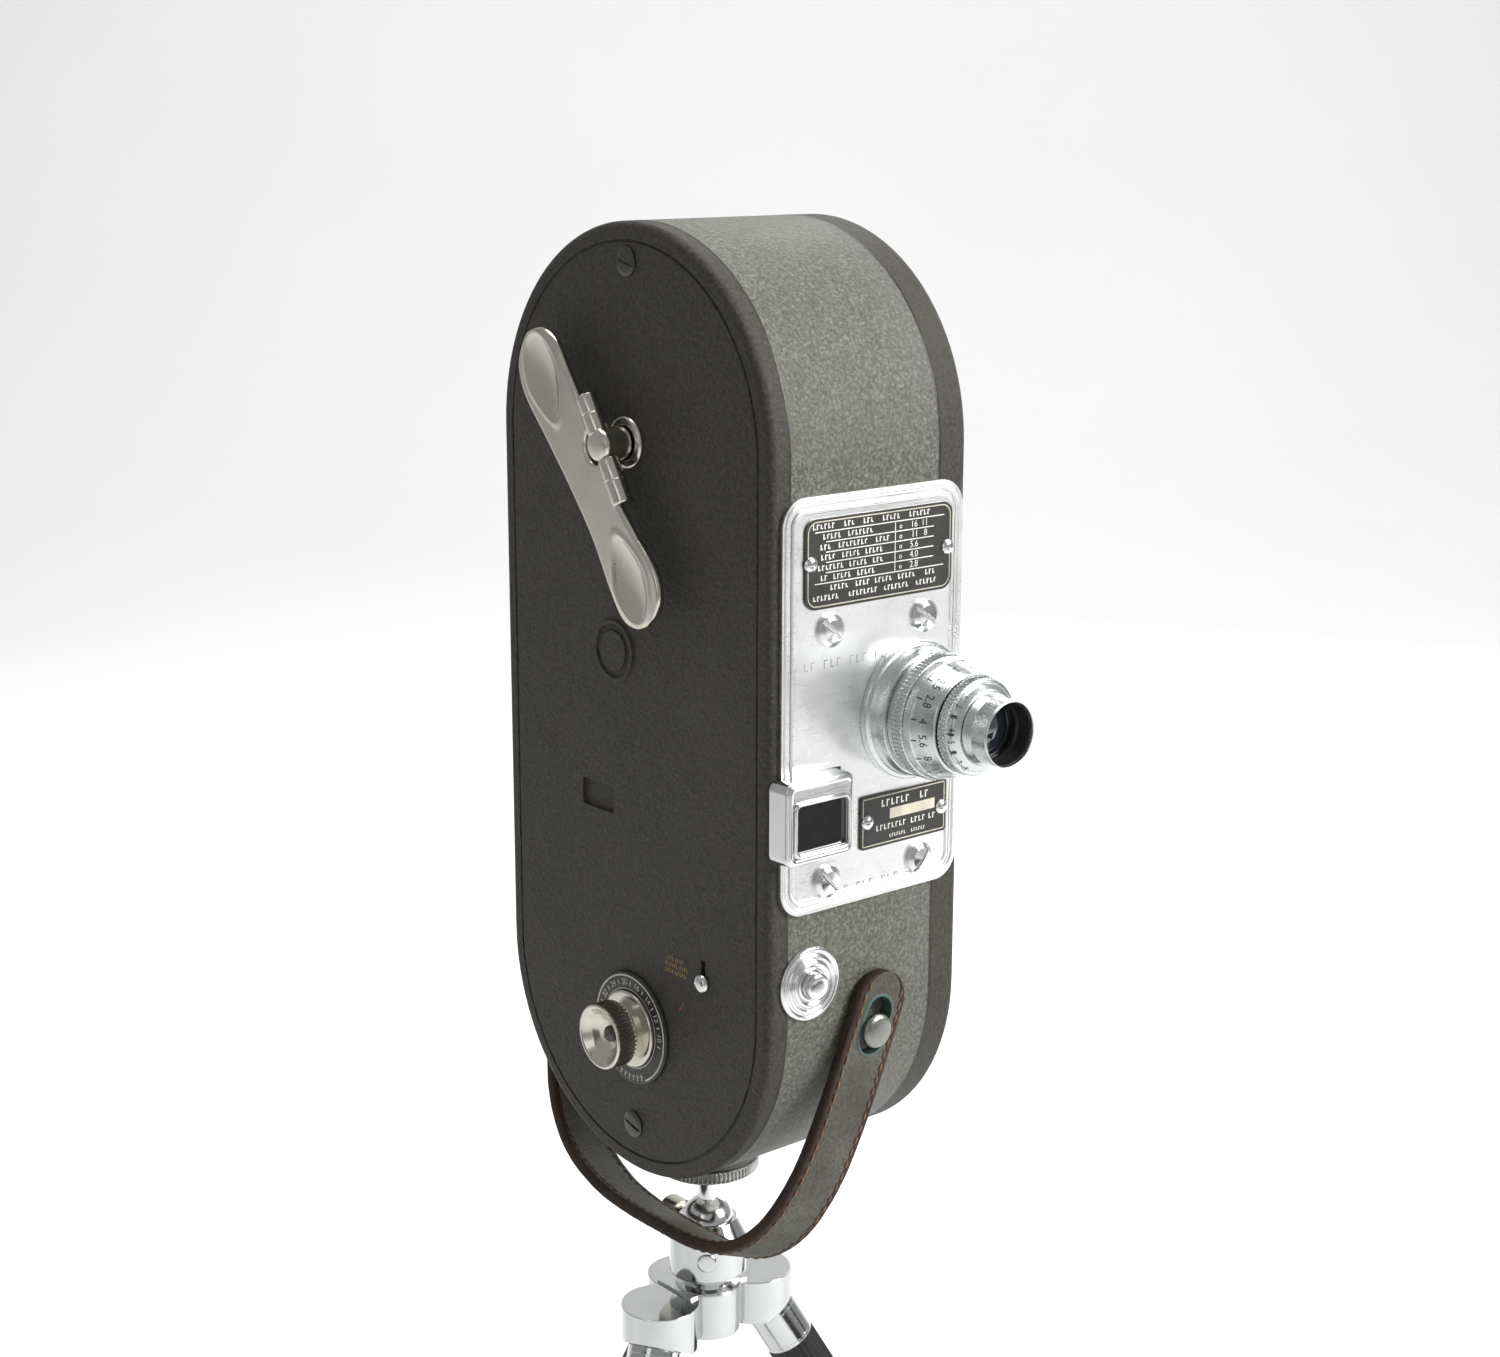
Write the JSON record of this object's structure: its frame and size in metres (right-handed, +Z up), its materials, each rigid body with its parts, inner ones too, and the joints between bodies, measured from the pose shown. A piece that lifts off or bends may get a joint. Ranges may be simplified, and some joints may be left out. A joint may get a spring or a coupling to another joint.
{
  "type": "film camera on tripod",
  "caption": "Spring-wound film camera with a folding winding key, small prime lens and leather hand strap, on a ball-head tripod with telescoping legs.",
  "frame": {"origin": "middle of the whole object's bounding box, on the surface the feet stand on", "axes": "+Z up, -Y the way the lens looks, +X the film-door side"},
  "size_m": [0.2366, 0.2096, 0.4722],
  "materials": {
    "crackle_band": "fine crackle paint, dark olive grey",
    "crackle_side": "fine crackle paint, dark grey",
    "dark_screws": "blackened",
    "satin_steel": "satin",
    "bare_aluminium": "plain",
    "blackened_metal": "satin black",
    "front_chrome": "satin chrome",
    "screw_chrome": "polished",
    "label_black": "black with pale ruled lines",
    "finder_crackle": "fine crackle paint",
    "optical_glass": "coated",
    "lens_chrome": "satin and knurled",
    "release_chrome": "polished",
    "spring_steel": "bright",
    "dial_black": "black with a cream ring",
    "knob_steel": "turned and knurled",
    "small_nickel": "nickel",
    "key_nickel": "worn nickel",
    "gear_brass": "plain",
    "spool_black": "black",
    "strap_leather": "worn, stitched edges",
    "nut_steel": "knurled",
    "tripod_chrome": "polished",
    "ferrule_chrome": "fluted",
    "tube_black": "fine ribbed black",
    "tube_chrome": "polished tube",
    "foot_rubber": "matt"
  },
  "bodies": {
    "crown": {"tripod_crown": "tripod_chrome", "leg_hinge_pins": "tripod_chrome", "tripod_column": "tripod_chrome"},
    "collar": {"socket_collar": "satin_steel"},
    "ball_lock": {"ball_lock_screw": "small_nickel"},
    "stud": {"ball_stud": "satin_steel"},
    "nut": {"lock_nut": "nut_steel"},
    "camera": {"body_band": "crackle_band", "winding_side_cover": "crackle_side", "cover_screws": "dark_screws", "mechanism_plate": "bare_aluminium", "tripod_bush": "blackened_metal", "front_plate": "front_chrome", "front_plate_screws": "screw_chrome", "exposure_table": "label_black", "name_plate": "label_black", "plate_rivets": "screw_chrome", "finder_housing": "finder_crackle", "finder_lenses": "optical_glass", "finder_eyepiece": "blackened_metal", "lens_mount": "lens_chrome", "lens_barrel": "lens_chrome", "lens_hood": "lens_chrome", "lens_elements": "optical_glass", "release_escutcheon": "release_chrome", "release_spring": "spring_steel", "speed_dial": "dial_black", "key_escutcheon": "key_nickel", "film_gate": "gear_brass", "strap_studs": "small_nickel"},
    "door": {"film_door": "crackle_side"},
    "latch": {"film_door_latch": "satin_steel"},
    "focus": {"focus_ring": "lens_chrome"},
    "aperture": {"aperture_ring": "lens_chrome"},
    "release": {"release_button": "release_chrome"},
    "knob": {"speed_knob": "knob_steel"},
    "run_lock": {"run_lock_button": "small_nickel"},
    "key_hub": {"key_shaft": "key_nickel", "key_hinge_pin": "key_nickel"},
    "key": {"winding_key": "key_nickel"},
    "barrel": {"mainspring_barrel": "bare_aluminium"},
    "idler": {"idler_gear": "gear_brass"},
    "sprocket": {"film_sprocket": "gear_brass"},
    "shutter": {"shutter_disc": "blackened_metal"},
    "supply": {"supply_spool": "spool_black"},
    "takeup": {"takeup_spool": "spool_black"},
    "pressure": {"pressure_plate": "spring_steel"},
    "strap": {"hand_strap": "strap_leather"},
    "leg_left": {"leg_ferrule_left": "ferrule_chrome", "leg_upper_tube_left": "tube_black"},
    "lower_left": {"leg_lower_tube_left": "tube_chrome", "leg_foot_left": "foot_rubber"},
    "leg_right": {"leg_ferrule_right": "ferrule_chrome", "leg_upper_tube_right": "tube_black"},
    "lower_right": {"leg_lower_tube_right": "tube_chrome", "leg_foot_right": "foot_rubber"},
    "leg_back": {"leg_ferrule_back": "ferrule_chrome", "leg_upper_tube_back": "tube_black"},
    "lower_back": {"leg_lower_tube_back": "tube_chrome", "leg_foot_back": "foot_rubber"}
  },
  "joints": [
    {"name": "leg_left_swing", "type": "hinge", "parent": "crown", "child": "leg_left", "pos_m": [-0.0155, -0.02199, 0.19919], "axis": [0.5, -0.866, 0], "range_deg": [0, 30]},
    {"name": "leg_left_slide", "type": "slide", "parent": "leg_left", "child": "lower_left", "axis": [-0.433, -0.25, -0.866], "range_m": [0, 0.15]},
    {"name": "leg_right_swing", "type": "hinge", "parent": "crown", "child": "leg_right", "pos_m": [0.0155, -0.02199, 0.19919], "axis": [0.5, 0.866, 0], "range_deg": [0, 30]},
    {"name": "leg_right_slide", "type": "slide", "parent": "leg_right", "child": "lower_right", "axis": [0.433, -0.25, -0.866], "range_m": [0, 0.15]},
    {"name": "leg_back_swing", "type": "hinge", "parent": "crown", "child": "leg_back", "pos_m": [0, -0.01299, 0.19919], "axis": [-1, 0, 0], "range_deg": [0, 30]},
    {"name": "leg_back_slide", "type": "slide", "parent": "leg_back", "child": "lower_back", "axis": [0, 0.5, -0.866], "range_m": [0, 0.15]},
    {"name": "head_pan", "type": "hinge", "parent": "crown", "child": "collar", "pos_m": [0, -0.02199, 0.22179], "axis": [0, 0, 1], "continuous": true},
    {"name": "ball_lock_turn", "type": "hinge", "parent": "collar", "child": "ball_lock", "pos_m": [0, -0.01219, 0.21879], "axis": [0, 1, 0], "range_deg": [0, 180]},
    {"name": "ball_tilt", "type": "hinge", "parent": "collar", "child": "stud", "pos_m": [0, -0.02199, 0.22179], "axis": [1, 0, 0], "range_deg": [-20, 20]},
    {"name": "lock_nut_turn", "type": "hinge", "parent": "stud", "child": "nut", "pos_m": [0, -0.02199, 0.23819], "axis": [0, 0, 1], "continuous": true},
    {"name": "camera_turn", "type": "hinge", "parent": "stud", "child": "camera", "pos_m": [0, -0.02199, 0.24219], "axis": [0, 0, 1], "continuous": true},
    {"name": "film_door_off", "type": "slide", "parent": "camera", "child": "door", "axis": [1, 0, 0], "range_m": [0, 0.06]},
    {"name": "door_latch_turn", "type": "hinge", "parent": "door", "child": "latch", "pos_m": [0.03633, -0.02199, 0.35719], "axis": [1, 0, 0], "range_deg": [0, 90]},
    {"name": "focus_turn", "type": "hinge", "parent": "camera", "child": "focus", "pos_m": [0.019, -0.08226, 0.36224], "axis": [0, -1, 0], "range_deg": [0, 150]},
    {"name": "aperture_turn", "type": "hinge", "parent": "camera", "child": "aperture", "pos_m": [0.019, -0.09426, 0.36224], "axis": [0, -1, 0], "range_deg": [-70, 70]},
    {"name": "release_press", "type": "slide", "parent": "camera", "child": "release", "axis": [0, 1, 0], "range_m": [0, 0.0022], "stiffness_N_per_m": 400, "springref_m": -0.003, "deforming": ["release_spring"]},
    {"name": "speed_knob_turn", "type": "hinge", "parent": "camera", "child": "knob", "pos_m": [-0.02833, -0.02199, 0.27939], "axis": [-1, 0, 0], "range_deg": [-120, 120]},
    {"name": "run_lock_slide", "type": "slide", "parent": "camera", "child": "run_lock", "axis": [0, 0, 1], "range_m": [0, 0.004]},
    {"name": "key_turn", "type": "hinge", "parent": "camera", "child": "key_hub", "pos_m": [-0.02733, -0.02199, 0.42219], "axis": [-1, 0, 0], "continuous": true},
    {"name": "key_fold", "type": "hinge", "parent": "key_hub", "child": "key", "pos_m": [-0.03053, -0.02199, 0.42219], "axis": [0, 0.5075, 0.8616], "range_deg": [0, 90]},
    {"name": "barrel_spin", "type": "hinge", "parent": "camera", "child": "barrel", "pos_m": [-0.0015, -0.02199, 0.42219], "axis": [-1, 0, 0], "continuous": true},
    {"name": "idler_spin", "type": "hinge", "parent": "camera", "child": "idler", "pos_m": [0.0055, -0.02199, 0.38169], "axis": [-1, 0, 0], "continuous": true},
    {"name": "sprocket_spin", "type": "hinge", "parent": "camera", "child": "sprocket", "pos_m": [0.0115, -0.02199, 0.35719], "axis": [-1, 0, 0], "continuous": true},
    {"name": "shutter_spin", "type": "hinge", "parent": "camera", "child": "shutter", "pos_m": [0.005, -0.06676, 0.36919], "axis": [0, -1, 0], "continuous": true},
    {"name": "supply_spin", "type": "hinge", "parent": "camera", "child": "supply", "pos_m": [0.0192, -0.02199, 0.42219], "axis": [-1, 0, 0], "continuous": true},
    {"name": "takeup_spin", "type": "hinge", "parent": "camera", "child": "takeup", "pos_m": [0.0192, -0.02199, 0.29219], "axis": [-1, 0, 0], "continuous": true},
    {"name": "pressure_plate_lift", "type": "slide", "parent": "camera", "child": "pressure", "axis": [0, 1, 0], "range_m": [0, 0.003], "stiffness_N_per_m": 200, "springref_m": -0.002},
    {"name": "strap_swing", "type": "hinge", "parent": "camera", "child": "strap", "pos_m": [0.0065, -0.02199, 0.28739], "axis": [0, 1, 0], "range_deg": [0, 30]}
  ],
  "couplings": [
    {"joint": "idler_spin", "follows": "barrel_spin", "ratio": -2.24},
    {"joint": "sprocket_spin", "follows": "barrel_spin", "ratio": 2.3333},
    {"joint": "shutter_spin", "follows": "barrel_spin", "ratio": 18.667}
  ]
}
